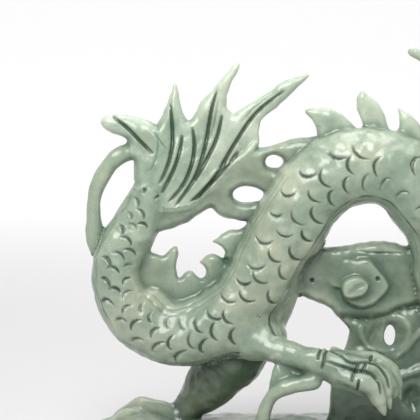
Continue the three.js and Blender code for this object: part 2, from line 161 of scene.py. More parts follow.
def ellipsoid_distance(centre, radii):
    """Distance to an ellipsoid, close to true near its surface."""
    centre, radii = np.array(centre, float), np.array(radii, float)
    cut, axes = window(centre - radii - PAD, centre + radii + PAD)
    k = np.sqrt(sum(((p - c) / r) ** 2 for p, c, r in zip(axes, centre, radii)))
    g = np.sqrt(sum(((p - c) / r**2) ** 2 for p, c, r in zip(axes, centre, radii)))
    return cut, (k * (k - 1) / np.maximum(g, 1e-3)).astype(np.float32)


def add_tube(name, stations, fillet=2.0, flat=1.0, **options):
    cut, distance = tube_distance(sampled(stations, **options), flat)
    join(cut, distance, fillet)
    claim(name, cut, distance)


def add_ellipsoid(name, centre, radii, fillet=2.0):
    cut, distance = ellipsoid_distance(centre, radii)
    join(cut, distance, fillet)
    claim(name, cut, distance)


def carve_ellipsoid(centre, radii, fillet=1.0):
    carve(*ellipsoid_distance(centre, radii), fillet)


# ================================================================ plates


def node_distance(name):
    """Distance to a CAD node's own mesh."""
    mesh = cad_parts[name].data
    mesh.calc_loop_triangles()
    points = np.empty(len(mesh.vertices) * 3, np.float32)
    mesh.vertices.foreach_get("co", points)
    triangles = np.empty(len(mesh.loop_triangles) * 3, np.int32)
    mesh.loop_triangles.foreach_get("vertices", triangles)
    points = points.reshape(-1, 3) / MM
    level_set = vdb.FloatGrid.createLevelSetFromPolygons(
        points,
        triangles=triangles.reshape(-1, 3),
        transform=vdb.createLinearTransform(STEP),
        halfWidth=PAD / STEP,
    )
    cut, _ = window(points.min(0) - PAD, points.max(0) + PAD)
    out = np.empty([c.stop - c.start for c in cut], np.float32)
    level_set.copyToArray(out, ijk=tuple(int(f + c.start) for f, c in zip(first, cut)))
    return cut, out


def row_of(y):
    """The number of the grid's row at a depth."""
    return int(round(y / STEP)) - int(first[1])


def outline_of(name, y):
    """Distance to a plate's outline over X and Z, cut at the depth y."""
    cut, distance = node_distance(name)
    out = np.full((count[0], count[2]), PAD, np.float32)
    out[cut[0], cut[2]] = distance[:, row_of(y) - cut[1].start, :]
    return out


def inward(outline, reach):
    """How deep each point lies inside an outline, up to `reach`; negative outside."""
    cells = int(reach / STEP) + 1
    padded = np.pad(outline, cells, constant_values=PAD)
    depth = np.full(outline.shape, reach, np.float32)
    for i in range(-cells, cells + 1):
        for j in range(-cells, cells + 1):
            away = math.hypot(i, j) * STEP
            if away > reach + STEP:
                continue
            there = padded[
                cells + i : cells + i + outline.shape[0], cells + j : cells + j + outline.shape[1]
            ]
            depth = np.minimum(depth, np.where(there > 0, away - there, reach))
    return np.where(outline > 0, -outline, np.maximum(depth, 0))


SLIT = 0.3  # closes the clearance between neighbouring CAD nodes
ROOTED = 3.5  # how far a plate reaches into what it grows from


def add_plates(names, y, front, back, rounding, fillet, middle=None, beside=None):
    """Fuses CAD plates into one lens-shaped body. `front` and `back` are its half thicknesses over
    X and Z, `rounding` is how far in from its edges it is rounded, `middle` its middle depth and
    `beside` a plate still to come, with its depth, towards which it isn't rounded."""
    outlines = {name: outline_of(name, y) for name in names}
    family = np.minimum.reduce(list(outlines.values())) - SLIT
    support = stone[:, row_of(y), :]
    if beside:
        support = np.minimum(support, outline_of(*beside) - SLIT)
    depth = inward(np.minimum(family, support), rounding) - SLIT
    rooted = np.where(family < ROOTED, family - ROOTED, PAD)
    family = np.minimum(family, np.maximum(rooted, support))
    middle = np.broadcast_to(np.float32(y) if middle is None else middle, depth.shape)
    front, back = np.broadcast_to(front, depth.shape), np.broadcast_to(back, depth.shape)
    thick = max(float(np.max(front)), float(np.max(back)))
    used = np.argwhere(family < PAD * 0.9)
    low = np.array([AXES[0][used[:, 0].min()], y - thick - PAD, AXES[2][used[:, 1].min()]])
    high = np.array([AXES[0][used[:, 0].max()], y + thick + PAD, AXES[2][used[:, 1].max()]])
    cut, (_, ys, _) = window(low, high)
    over = (cut[0], cut[2])
    offset = ys - middle[over][:, None, :]
    half = np.where(offset < 0, front[over][:, None, :], back[over][:, None, :])
    edge = (1 - np.minimum(depth[over], rounding) / rounding)[:, None, :]
    level = edge**2 + (offset / half) ** 2 - 1
    slope = 2 * np.sqrt((edge / rounding) ** 2 + (offset / half**2) ** 2)
    body = np.clip(level / np.maximum(slope, 0.05), -PAD, PAD)
    join(cut, np.maximum(body, family[over][:, None, :]), fillet)
    for name, outline in outlines.items():
        claim(name, cut, np.maximum(body, outline[over][:, None, :] - SLIT))


def curve_through(points, per_span=4):
    """A smooth curve through points of two coordinates."""
    stations = [[x, 0, z, 0] for x, z in points]
    return sampled(stations, per_span)[:, [0, 2]]


def line_distance(line, x, z):
    """Distance from points to a line, and the share of the line at which each is closest."""
    best = np.full(np.broadcast(x, z).shape, 1e6, np.float32)
    place = np.zeros_like(best)
    length = np.hypot(*np.diff(line, axis=0).T)
    run = np.concatenate([[0], np.cumsum(length)])
    for i, (a, b) in enumerate(zip(line[:-1], line[1:])):
        ab = b - a
        t = np.clip(((x - a[0]) * ab[0] + (z - a[1]) * ab[1]) / (ab @ ab), 0, 1)
        away = np.hypot(x - a[0] - t * ab[0], z - a[1] - t * ab[1])
        closer = away < best
        best = np.where(closer, away, best)
        place = np.where(closer, (run[i] + t * length[i]) / run[-1], place)
    return best, place


GRID_X, GRID_Z = AXES[0][:, None], AXES[2][None, :]


def ramp(value, low, high):
    """0 at low, 1 at high, with a smooth start and end."""
    t = np.clip((value - low) / (high - low), 0, 1)
    return t * t * (3 - 2 * t)


# ================================================================ trunk

TRUNK_RADIUS = 16.4
SPINE = [
    [-99, 3, 116, 0.58],
    [-108, 2, 101, 0.64],
    [-114.5, 1, 85.5, 0.7],
    [-112.5, 0, 70.5, 0.73],
    [-104, 0, 59.5, 0.78],
    [-91, 0, 53, 0.83],
    [-75.5, 0, 54.5, 0.9],
    [-62, 0, 63, 0.96],
    [-52, 0, 75.5, 0.99],
    [-44.5, 0, 89.5, 0.99],
    [-37, 0, 103.5, 0.99],
    [-28, -0.5, 118, 0.99],
    [-15, -1, 128.5, 0.99],
    [1, -1, 131.5, 1],
    [16, -1, 126, 1.01],
    [27.5, 0, 113.5, 1.02],
    [34, 0.5, 97.5, 1.03],
    [36.5, 1, 79.5, 1.03],
    [42.5, 1, 61.5, 1.05],
    [55.5, 1, 51, 1.06],
    [71, 0, 52.5, 1.02],
    [81.5, -1, 65, 0.96],
    [83.5, -2, 82.5, 0.9],
    [79, -2, 99.5, 0.86],
    [74, -1, 115.5, 0.82],
    [75.5, 0, 140, 0.76],
]
TRUNK_REGIONS = {  # where each starts and ends, in stations of the spine
    "tail_root": (0, 3.5),
    "rear_bend": (3.5, 7.5),
    "back_rise": (7.5, 11),
    "back_arch": (11, 15),
    "back_fall": (15, 18),
    "chest_bend": (18, 21.5),
    "neck": (21.5, 25),
}


ARCH_CENTRE = (-3, 95)  # over X and Z
ARCH_STATIONS = slice(10, 16)
ARCH_DEPTH = 2.5  # how much deeper the trunk is on the inside of the arch
TRUNK_FILLERS = [  # region, stations and fillet of the stone that fills the corners beside the trunk
    ("tail_root", [[-102, 2, 108, 8.5], [-106, 1, 98, 9], [-110, 1, 86, 8]], 3.0),
    ("rear_bend", [[-98, 0, 69, 7], [-87, 0, 61.5, 9], [-76, 0, 63.5, 9], [-68, 0, 69, 8]], 5.0),
    ("back_rise", [[-36, 3, 76, 7], [-42, 2, 65, 8], [-46, 0, 56, 8]], 5.0),
]


def add_trunk():
    """Adds the trunk and gives back its spine, sampled closely."""
    stations = [[x, y, z, share * TRUNK_RADIUS] for x, y, z, share in SPINE]
    join(*tube_distance(sampled(stations)), 2.0)
    inside = np.array(stations[ARCH_STATIONS])
    inward_step = np.array(ARCH_CENTRE) - inside[:, [0, 2]]
    inward_step *= ARCH_DEPTH / np.linalg.norm(inward_step, axis=1, keepdims=True)
    inside[:, [0, 2]] += inward_step
    join(*tube_distance(sampled(inside)), 2.0)
    for name, (start, end) in TRUNK_REGIONS.items():
        claim(name, *tube_distance(sampled(stations, start=start, end=end)))
    for name, filler, fillet in TRUNK_FILLERS:
        add_tube(name, filler, fillet)
    return sampled(stations, per_span=12)


# ================================================================ legs

TOE_RADIUS = 3.3
CLAW_RADIUS = 2.2
HIND_LEG_RADIUS = 7.6
FORE_LEG_RADIUS = 6.2


def add_toe(name, toe):
    """A toe with the claw that carries on from its tip and droops."""
    tip = np.array(toe[-1][:3], float)
    forward = tip - np.array(toe[-2][:3], float)
    forward /= np.linalg.norm(forward)

    def claw_station(ahead, drop, share):
        return [*(tip + forward * ahead - [0, 0, drop]), CLAW_RADIUS * share]

    digit = [[x, y, z, share * TOE_RADIUS] for x, y, z, share in toe]
    add_tube(name, digit, 1.0)
    claw = [claw_station(-1.5, 0, 1), claw_station(3.6, 0.4, 0.75), claw_station(6.6, 1.6, 0.3)]
    add_tube(name, claw, 0.6)


def add_limb(name, stations, thickness, fillet=3.0):
    add_tube(name, [[x, y, z, share * thickness] for x, y, z, share in stations], fillet)


def add_hind_legs():
    haunch = [[-68, -1, 57, 12], [-58, -3, 56, 12], [-50, -5, 54.5, 10], [-44, -8, 53, 7.5]]
    add_tube("rear_bend", haunch, 4.0)
    near_leg = [
        [-52, -8, 51.2, 1.05],
        [-46.4, -12, 50.1, 0.84],
        [-38.5, -16, 48.2, 0.76],
        [-33.2, -18.5, 46.6, 0.76],
        [-26.7, -21, 45.5, 0.82],
    ]
    crest = [[-46, -15.5, 51, 1.6], [-38.5, -19.5, 48.5, 1.4], [-31, -22.5, 46, 1.2]]
    add_limb("hind_leg_near", near_leg, HIND_LEG_RADIUS, 3.0)
    add_tube("hind_leg_near", crest, 1.5)
    palm = [
        [-23, -23, 45, 6.4],
        [-13.5, -25, 41.5, 8],
        [-4.5, -25.5, 38.5, 8.2],
        [3, -24.5, 36, 6.6],
        [7.5, -23, 32, 4.6],
    ]
    add_tube("hind_foot_near_palm", palm, 1.6, 0.85)
    toes = [
        [
            [-17, -20, 49, 0.85],
            [-11, -20, 46.6, 0.95],
            [-3.4, -20, 46.3, 1],
            [3, -20.5, 45, 1],
            [8, -21, 41, 1],
            [10.4, -21.5, 34.5, 0.9],
        ],
        [
            [-19.5, -24.5, 48, 0.85],
            [-14, -26, 46, 1],
            [-8.5, -27, 43.4, 1],
            [-2, -27.5, 42.8, 1.05],
            [3.4, -27.5, 38.8, 1],
            [5.6, -27.5, 32, 0.9],
        ],
        [[-15, -29, 40, 1], [-7, -31, 38, 1.3], [-1, -31.5, 35.5, 1.35], [2, -31, 29.5, 1]],
    ]
    for number, toe in enumerate(toes, 1):
        add_toe(f"hind_foot_near_toe_{number}", toe)
    spur = [
        [-26, -23, 36, 3.6],
        [-35, -22, 34, 3.5],
        [-42.5, -21, 31, 3.3],
        [-46.5, -20, 25.5, 3],
        [-48.5, -20, 18, 3.6],
        [-50.5, -20, 10, 4.6],
    ]
    add_tube("heel_spur", spur, 2.0)
    far_leg = [
        [-52, 8, 55, 1.7],
        [-62, 11, 42, 1.9],
        [-71, 14, 30, 1.55],
        [-79, 15, 21, 1],
        [-86, 15, 13, 0.8],
    ]
    add_limb("hind_leg_far", far_leg, HIND_LEG_RADIUS)
    palm = [[-86, 14, 12, 6], [-95, 13, 15, 6.2], [-103, 12, 16.5, 6.4], [-110, 11, 13, 4.6]]
    add_tube("hind_foot_far", palm, 1.6, 0.85)
    for spread in (-7, 0, 7):
        toe = [
            [-103, 12 + spread * 0.5, 16, 0.95],
            [-110, 12 + spread, 15.5, 1],
            [-115, 12 + spread * 1.2, 11, 0.8],
        ]
        add_toe("hind_foot_far", toe)


def add_fore_legs():
    near_leg = [[66, -7, 60, 1.9], [76, -14, 51, 1.5], [85, -18, 41, 1.1], [92, -19, 32, 1]]
    add_limb("fore_leg_near", near_leg, FORE_LEG_RADIUS)
    near_palm = [[92, -19, 32, 6], [100, -19, 25.5, 6.4], [106, -19, 22.5, 4.6]]
    add_tube("fore_foot_near_palm", near_palm, 1.6, 0.85)
    far_leg = [[68, 8, 62, 1.8], [82, 16, 62, 1.45], [93, 20, 68, 1.1], [100, 21, 78, 1]]
    add_limb("fore_leg_far", far_leg, FORE_LEG_RADIUS)
    far_palm = [[100, 21, 78, 5.8], [104, 21, 86, 6.2], [107, 21, 92, 4.6]]
    add_tube("fore_foot_far", far_palm, 1.6, 0.85)
    for number, spread in enumerate((-6, 0, 6), 1):
        near_toe = [
            [99, -19 + spread * 0.6, 27, 0.9],
            [108, -19 + spread, 26, 1],
            [114, -19 + spread * 1.2, 21, 0.85],
        ]
        far_toe = [
            [104, 21 + spread * 0.6, 88, 0.9],
            [109, 21 + spread, 96, 1],
            [116, 21 + spread * 1.2, 97, 0.85],
        ]
        add_toe(f"fore_foot_near_toe_{number}", near_toe)
        add_toe("fore_foot_far", far_toe)


# ================================================================ head

HORN_RADIUS = 5.2
MANE_RADIUS = 4.6


def add_head():
    skull = [
        [66, 0, 147, 12],
        [79, 0, 152, 14],
        [92, 0, 153.5, 11.5],
        [105, 0, 153, 8.6],
        [116, 0, 155.5, 8.4],
        [124, 0, 157, 5],
    ]
    jaw = [[80, 0, 139, 8], [93, 0, 135.5, 6.6], [106, 0, 134, 5.6], [116, 0, 136.5, 3.6]]
    tongue = [[88, 0, 142.5, 2.4], [98, 0, 141.5, 2.4], [107, 0, 142, 2], [113, 0, 144, 1.2]]
    add_tube("skull", skull, 3.0)
    add_tube("lower_jaw", jaw, 1.5, 1.25)
    add_tube("tongue", tongue, 0.6, 1.8)
    for name, side in (("near", -1), ("far", 1)):
        ear = [[76, side * 11, 152, 4], [66, side * 15, 156, 4.2], [58, side * 17, 160.5, 1.2]]
        horn = [
            [76, side * 7, 160, HORN_RADIUS],
            [60, side * 9, 168, HORN_RADIUS],
            [44, side * 10, 172, HORN_RADIUS * 0.9],
            [30, side * 9.5, 176.5, HORN_RADIUS * 0.7],
            [19, side * 8, 181, HORN_RADIUS * 0.35],
        ]
        whisker = [
            [119, side * 8, 152, 2],
            [113, side * 12, 146, 2],
            [104, side * 13.5, 144.5, 1.9],
            [96, side * 14, 149, 1.7],
            [90, side * 15.5, 150.5, 1],
        ]
        add_ellipsoid("skull", [88, side * 9, 160], [6.5, 4, 3.6], 1.5)  # brow
        add_ellipsoid("skull", [119, side * 4.5, 161], [4, 3.4, 3.2], 1.2)  # nostril
        add_ellipsoid("skull", [84, side * 11, 147], [7, 4, 5], 2.0)  # cheek
        carve_ellipsoid([93, side * 11.5, 155.5], [4.2, 3, 3.2], 0.8)  # eye socket
        add_ellipsoid("skull", [92.5, side * 9.6, 155.5], [3, 2.6, 2.6], 0.3)  # eye
        add_tube("skull", ear, 1.5, 0.6)
        carve_ellipsoid([65, side * 18, 157.5], [6, 2, 2.2], 0.8)  # the hollow of the ear
        add_tube(f"horn_{name}", horn, 1.5)
        branch = [[44, side * 10, 172, 3.4], [38, side * 12, 166, 2.8], [31, side * 14, 163.5, 1.2]]
        add_tube(f"horn_{name}", branch, 1.5)
        add_tube(f"whisker_{name}", whisker, 0.8)
        for x, drop in ((118, 7), (112, 4.5), (107, 3.5), (102, 3.5)):  # upper teeth
            z = 149 if x > 115 else 147
            add_tube("skull", [[x, side * 4.6, z, 1.7], [x - 1, side * 4.6, z - drop, 0.6]], 0.4)
        for x, rise in ((114, 5.5), (109, 3.5), (104, 3)):  # lower teeth
            add_tube("lower_jaw", [[x, side * 4, 137, 1.5], [x - 0.6, side * 4, 138 + rise, 0.5]], 0.4)


def add_mane():
    locks = [  # depth, then where each starts and ends over X and Z
        [0, 70, 152, 26, 165],
        [-8, 68, 143, 34, 146],
        [8, 68, 143, 34, 146],
        [0, 66, 134, 40, 127],
    ]
    for number, (y, start_x, start_z, tip_x, tip_z) in enumerate(locks, 1):
        run, drop = tip_x - start_x, tip_z - start_z
        lock = [
            [start_x, y, start_z, MANE_RADIUS * 1.4],
            [start_x + run * 0.3, y * 1.4, start_z + drop * 0.1 + 3, MANE_RADIUS * 1.2],
            [start_x + run * 0.65, y * 1.5, start_z + drop * 0.5 - 1, MANE_RADIUS],
            [tip_x, y * 1.3, tip_z, MANE_RADIUS * 0.3],
        ]
        add_tube(f"mane_lock_{number}", lock, 1.2, 0.9)


# ================================================================ tail, fins and clouds

FLAMES = ["tail_flame_left", "tail_flame_short", "tail_flame_tall", "tail_flame_right"]
COMB = [f"rear_comb_{n}" for n in range(1, 5)]
FINS = [*(f"arch_fin_{n}" for n in range(1, 4)), "fall_fin_1", "fall_fin_2", "front_comb_1"]
FINS += ["neck_fin_1", "neck_fin_2"]
CURL_RADIUS = 3.3


def add_tail():
    curl = [
        [-105, 2, 138, 1.3],
        [-113, 2, 134.5, 1.2],
        [-119.5, 2, 127.5, 1],
        [-123.5, 2, 118, 1],
        [-124.5, 2, 108, 1],
        [-123.5, 1.5, 98, 1.2],
        [-120, 1, 89, 1.4],
    ]
    add_limb("tail_curl", curl, CURL_RADIUS, 1.5)
    rootward = 1 - ramp(np.hypot(GRID_X + 93, GRID_Z - 112), 6, 60)  # 1 at the root of the fan
    half = 2.6 + 5.6 * rootward
    middle = 3 - 1.5 * ramp(GRID_X, -90, -40)
    add_plates(FLAMES, 3, half, half, 3.8, 0.6, middle, ("tail_web", 1))
    add_plates(["tail_web"], 1, 5.2, 5.2, 4.0, 1.0)
    slot = [[-58.6, 1, 117, 3], [-51.2, 1, 117, 3]]  # the opening between the web and the trunk
    carve(*tube_distance(sampled(slot), 6.0), 1.2)


def add_fins():
    add_plates(COMB, 0, 3.4, 3.4, 2.4, 1.0)
    add_plates(FINS, 0, 3.0, 3.0, 3.8, 1.0)
    add_plates(["beard"], 0, 2.6, 2.6, 3.5, 1.2)


def inside_of(corners, softness):
    """1 well inside a smooth closed outline over X and Z, 0 outside it, in a step that wide."""
    line = curve_through([*corners, corners[0]])
    away, _ = line_distance(line, GRID_X, GRID_Z)
    odd = np.zeros(away.shape, bool)
    for a, b in zip(line[:-1], line[1:]):
        spans = (a[1] > GRID_Z) != (b[1] > GRID_Z)
        crossing = a[0] + (GRID_Z - a[1]) / (b[1] - a[1] + 1e-9) * (b[0] - a[0])
        odd ^= spans & (GRID_X < crossing)
    return ramp(np.where(odd, away, -away), 0, softness)


def scroll_front():
    """Half thickness of the scroll on the near side: a raised spiral, with a dented knob in its eye."""
    swirl = [[-22, 84.5], [-12, 87.5], [-1.7, 88.6], [3.6, 84.7], [8.8, 76.7], [6.2, 71.4], [2.5, 68.2]]
    swirl += [[-4.4, 66], [-9.1, 67.6], [-12.3, 70.3], [-13.6, 74], [-18, 76]]
    button = [[-13.4, 74], [-12.4, 78], [-9.4, 80.4], [-5, 80.8], [-1.6, 79], [0.2, 76], [-1.6, 72.6]]
    button += [[-5, 70.8], [-9.5, 70.2], [-12.6, 71.4]]
    raised = inside_of(swirl, 0.8) * ramp(GRID_X - 0.9 * (GRID_Z - 76), -26, -7)
    knob = inside_of(button, 0.9)
    dent, _ = line_distance(curve_through([[-3, 77], [-6.5, 75.5], [-9, 73.2]]), GRID_X, GRID_Z)
    return 5.0 + 2.6 * raised + 2.8 * knob - 0.7 * (1 - ramp(dent, 0.4, 1.6))


def stem_front():
    """Half thickness of the stem on the near side: a bowl with a lip, a dimple and three ribs."""
    ribs = [
        [[13, 44], [20, 51], [29, 60]],
        [[-12, 40], [-4, 46], [2, 47]],
        [[12, 34], [24, 38], [30, 44]],
    ]
    bowl = np.hypot((GRID_X - 7) / 10, (GRID_Z - 55) / 8)  # 1 at its rim
    dimple = np.hypot((GRID_X - 20) / 6, (GRID_Z - 25) / 7)
    hollow = 1 - ramp(bowl, 0.3, 1)
    hollow += 1 - ramp(dimple, 0.3, 1)
    lip = np.exp(-(((bowl - 1.1) / 0.12) ** 2))
    for rib in ribs:
        away, _ = line_distance(curve_through(rib), GRID_X, GRID_Z)
        lip += 1.3 * np.exp(-((away / 1.8) ** 2))
    return 3.6 - 2.6 * hollow + 1.2 * lip


def add_clouds():
    add_plates(["cloud_scroll"], 4, scroll_front(), 6, 4.0, 1.0)
    add_plates(["cloud_stem"], 4, stem_front(), 6, 6.0, 1.5)
    carve_ellipsoid([9.5, 4, 53], [2.0, 14, 4.6], 0.8)  # the opening in the bowl
    add_plates(["cloud_under_chest"], 0, 9, 9, 6.0, 3.0)
    mounds = [
        [[-104, 8, 10], [15, 15, 7]],
        [[-34, -10, 10.5], [17, 18, 8]],
        [[100, -14, 10.5], [22, 14, 8]],
        [[60, 14, 11.5], [26, 16, 9]],
    ]
    for number, (centre, radii) in enumerate(mounds, 1):
        add_ellipsoid(f"cloud_mound_{number}", centre, radii, 3.0)
    cut, distance = node_distance("cloud_base")
    join(cut, distance, 3.0)
    claim("cloud_base", cut, distance)
    stone[:, :, AXES[2] < 0] = PAD


spine_line = add_trunk()
add_head()
add_hind_legs()
add_fore_legs()
add_tail()
add_plates(["heel_spur"], -18, 2.8, 2.8, 4.0, 2.0)
add_fins()
add_mane()
add_clouds()

# ================================================================ skin


def blurred(field, passes):
    """A field smoothed by passes of a 1 2 1 filter along each axis."""
    for _ in range(passes):
        for axis in range(3):
            ahead = np.roll(field, 1, axis)
            ahead += np.roll(field, -1, axis)
            field = field * 0.5 + ahead * 0.25
    return field


stone = blurred(stone, 2)
under = AXES[2] < STEP / 2
stone[:, :, under] = np.maximum(stone[:, :, under], -AXES[2][under])


def divided_surface(field, labels):
    """Surface nets over labelled stone. Gives points, whether each is on the outer skin, and for
    each label its faces: its share of the skin and the walls inside the stone that close it."""
    strides = np.array([count[1] * count[2], count[2], 1])
    cells, crossings, sides = [], [], []
    for axis in range(3):
        lower = np.moveaxis(labels, axis, 0)[:-1]
        upper = np.moveaxis(labels, axis, 0)[1:]
        place = np.stack(np.nonzero(np.moveaxis(lower != upper, 0, axis)), axis=1)
        flat = place @ strides
        near, far = labels.ravel()[flat], labels.ravel()[flat + strides[axis]]
        before, after = field.ravel()[flat], field.ravel()[flat + strides[axis]]
        outer = (near < 0) | (far < 0)
        crossing = place.astype(float)
        crossing[:, axis] += np.where(outer, before / np.where(outer, before - after, 1), 0.5)
        u, v = strides[(axis + 1) % 3], strides[(axis + 2) % 3]
        cells.append(flat[:, None] + np.array([-u - v, -v, 0, -u]))
        crossings.append(crossing)
        sides.append(np.column_stack([near, far]))
    crossings, sides = np.concatenate(crossings), np.concatenate(sides)
    ids, quads = np.unique(np.concatenate(cells), return_inverse=True)
    quads = quads.reshape(-1, 4)
    outer = np.repeat((sides < 0).any(1), 4)
    corner = quads.ravel()
    skin_count = np.bincount(corner, outer, len(ids))
    wall_count = np.bincount(corner, ~outer, len(ids))
    on_skin = skin_count > 0
    places = np.empty((len(ids), 3))
    for axis in range(3):
        value = np.repeat(crossings[:, axis], 4)
        skin_mean = np.bincount(corner, value * outer, len(ids)) / np.maximum(skin_count, 1)
        wall_mean = np.bincount(corner, value * ~outer, len(ids)) / np.maximum(wall_count, 1)
        places[:, axis] = (np.where(on_skin, skin_mean, wall_mean) + first[axis]) * STEP
    faces = np.concatenate([quads[sides[:, 0] >= 0], quads[sides[:, 1] >= 0][:, ::-1]])
    labels_of = np.concatenate([sides[:, 0][sides[:, 0] >= 0], sides[:, 1][sides[:, 1] >= 0]])
    is_skin = (sides < 0).any(1)
    outer = np.concatenate([is_skin[sides[:, 0] >= 0], is_skin[sides[:, 1] >= 0]])
    return places, on_skin, faces, labels_of, outer


points, on_skin, faces, face_owner, on_outside = divided_surface(
    stone, np.where(stone < 0, owner, -1).astype(np.int8)
)


def normals_of(points, quads):
    a, b, c, d = (points[quads[:, k]] for k in range(4))
    face = np.cross(c - a, d - b)
    out = np.empty_like(points)
    for axis in range(3):
        out[:, axis] = np.bincount(quads.ravel(), np.repeat(face[:, axis], 4), len(points))
    return out / np.maximum(np.linalg.norm(out, axis=1, keepdims=True), 1e-9)


skin_faces = faces[on_outside]
wall_faces = faces[~on_outside]
normals = normals_of(points, skin_faces)


def sampled_at(field, places):
    """Values of a grid at places, from their nearest grid points."""
    index = np.rint(places / STEP).astype(int) - first
    index = np.clip(index, 0, count - 1)
    return field[index[:, 0], index[:, 1], index[:, 2]]


point_owner = np.where(on_skin, sampled_at(owner, points), -1)

# ================================================================ engraving

carving = np.zeros(len(points))  # how far each point is cut into the stone, in millimetres
ink = np.zeros(len(points))  # how much of a carved line's dark bottom each point has


def owned(*names):
    """Marks the points of the regions whose names start with any of these."""
    numbers = [n for n, region in enumerate(regions) if region.startswith(names)]
    return np.isin(point_owner, numbers)


DARK_CUT = 0.6  # how deep a cut is where its bottom is at its darkest


def engrave(where, depth, darkness=None):
    """Cuts the chosen points in by a depth."""
    carving[where] += depth
    shade = np.clip(depth / DARK_CUT, 0, 1) if darkness is None else darkness
    ink[where] = np.maximum(ink[where], shade)


def groove(away, width, depth):
    """The depth of a groove with a round bottom at a distance from its line."""
    return depth * np.clip(1 - (away / width) ** 2, 0, 1) ** 1.5


def engrave_line(where, line, width, depth):
    """Cuts a line into the chosen points. It is drawn over X and Z as the camera sees them."""
    line = curve_through(line)
    x, y, z = points[where].T
    near = 1 + y * MM / EYE_DISTANCE
    x = AIM[0] + (x - AIM[0]) / near
    z = AIM[2] + (z - AIM[2] + y * math.sin(EYE_ELEVATION)) / near
    away, place = line_distance(line, x, z)
    strength = np.sqrt(np.clip(4 * place * (1 - place), 0, 1))
    engrave(where, groove(away, width, depth) * strength)


def chance(*numbers):
    """A repeatable random share for each set of whole numbers."""
    mix = sum(np.asarray(n, float) * k for n, k in zip(numbers, (12.9898, 78.233, 37.719, 4.581)))
    return np.modf(np.abs(np.sin(mix + SEED) * 43758.5453))[0]


SPINE_OVERLAP = 0.7  # how far past a region's ends its points are looked for, in stations


def trunk_places():
    """The numbers of the trunk's points, with the place along the trunk, the angle from the ridge of
    the back (positive on the near side) and the radius of each."""
    chosen = np.flatnonzero(np.isin(point_owner, [regions.index(name) for name in TRUNK_REGIONS]))
    p = points[chosen]
    line, radius = spine_line[:, :3], spine_line[:, 3]
    tangent = np.gradient(line, axis=0)
    tangent /= np.linalg.norm(tangent, axis=1, keepdims=True)
    step = np.linalg.norm(np.diff(line, axis=0), axis=1)
    run = np.concatenate([[0], np.cumsum(step / ((radius[1:] + radius[:-1]) / 2))])
    per_station = (len(line) - 1) / (len(SPINE) - 1)
    place, angle, size = (np.zeros(len(chosen)) for _ in range(3))
    for name, (start, end) in TRUNK_REGIONS.items():
        mine = point_owner[chosen] == regions.index(name)
        low = max(0, int((start - SPINE_OVERLAP) * per_station))
        high = min(len(line), int((end + SPINE_OVERLAP) * per_station) + 1)
        q = p[mine]
        gap = ((q[:, None, ::2] - line[None, low:high, ::2]) ** 2).sum(2)
        k = gap.argmin(1) + low
        away = q - line[k]
        ahead = (away * tangent[k]).sum(1)
        back = np.cross(tangent[k], [0, 1, 0])
        back /= np.linalg.norm(back, axis=1, keepdims=True)
        place[mine] = run[k] + ahead / radius[k]
        angle[mine] = np.arctan2(-away[:, 1], (away * back).sum(1))
        size[mine] = radius[k]
    return chosen, place, angle, size


SCALE_ROW = 0.34  # between rows of scales, in trunk radii
SCALE_COLUMN = math.radians(30)  # between columns, round the trunk
SCALE_RADIUS = 0.3  # in trunk radii
SCALE_TURN = 1.15  # how far a gouge reaches to either side of the scale's tip
RIDGE = math.radians(32)  # the angle at which the ridge of the back ends
BELLY = math.radians(140)  # and that at which the belly begins
BELLY_LINES = [(BELLY, 0.75, 0.8), (BELLY + 0.2, 0.55, 0.4)]  # angle, width and depth
BELLY_DEPTH = 0.8
RINGS = [(0.5, 0.25), (0.68, 0.2)]  # angle and depth
RING_WIDTH = 0.9


def engrave_scales(chosen, place, angle, size):
    """Rows of crescent gouges, each the free edge of a scale that points at the tail."""
    cut, rise = np.zeros(len(chosen)), np.zeros(len(chosen))
    row_here = np.floor(place / SCALE_ROW).astype(int)
    column_here = np.rint(angle / SCALE_COLUMN).astype(int)
    for i in range(-2, 3):
        for j in range(-2, 3):
            row, column = row_here + i, column_here + j
            present = ((row + column) % 2 == 0) & (chance(row, column, 1) > 0.1)
            middle = (column + 0.5 * (chance(row, column, 2) - 0.5)) * SCALE_COLUMN
            present &= (np.abs(middle) > RIDGE + 0.1) & (np.abs(middle) < BELLY - 0.16)
            along = (place - (row + 0.5 * (chance(row, column, 3) - 0.5)) * SCALE_ROW) * size
            across = (angle - middle) * size
            lean = 0.6 - 1.1 * ramp(np.abs(middle), 0.6, 2.2)
            tilt = 0.5 * (chance(row, column, 4) - 0.5) + lean * np.sign(middle)
            along, across = (
                along * np.cos(tilt) - across * np.sin(tilt),
                along * np.sin(tilt) + across * np.cos(tilt),
            )
            small = 0.6 + 0.4 * ramp(np.abs(middle), 0.75, 1.1)
            radius = SCALE_RADIUS * size * (0.85 + 0.35 * chance(row, column, 5)) * small
            away = np.hypot(along, across) - radius
            turn = np.abs(np.arctan2(across, -along))
            reach = np.clip(1 - (turn / SCALE_TURN) ** 2, 0, 1)
            width = 0.35 + 0.55 * reach
            depth = (0.55 + 0.6 * chance(row, column, 6)) * reach**0.6
            profile = np.clip(1 - (away / width) ** 2, 0, 1) ** 1.2
            cut = np.where(present, np.maximum(cut, profile * depth), cut)
            slope = np.clip(1 - away / 3, 0, 1) * (away > 0) * reach
            dome = np.clip(1 - ((away + radius * 0.35) / (radius * 0.5)) ** 2, 0, 1) * reach
            rise = np.where(present, rise + 0.2 * dome - 0.25 * slope, rise)
    engrave(chosen, cut)
    carving[chosen] -= rise


def engrave_belly(chosen, place, angle, size):
    """The belly is a band let in a little, with a line on either side."""
    for angle_at, width, depth in BELLY_LINES:
        away = np.abs(np.abs(angle) - angle_at) * size
        strength = 0.6 + 0.4 * np.sin(place * 5 + angle_at * 9)
        engrave(chosen, groove(away, width, depth) * strength)
    carving[chosen] += BELLY_DEPTH * ramp(np.abs(angle), BELLY - 0.02, BELLY + 0.1)


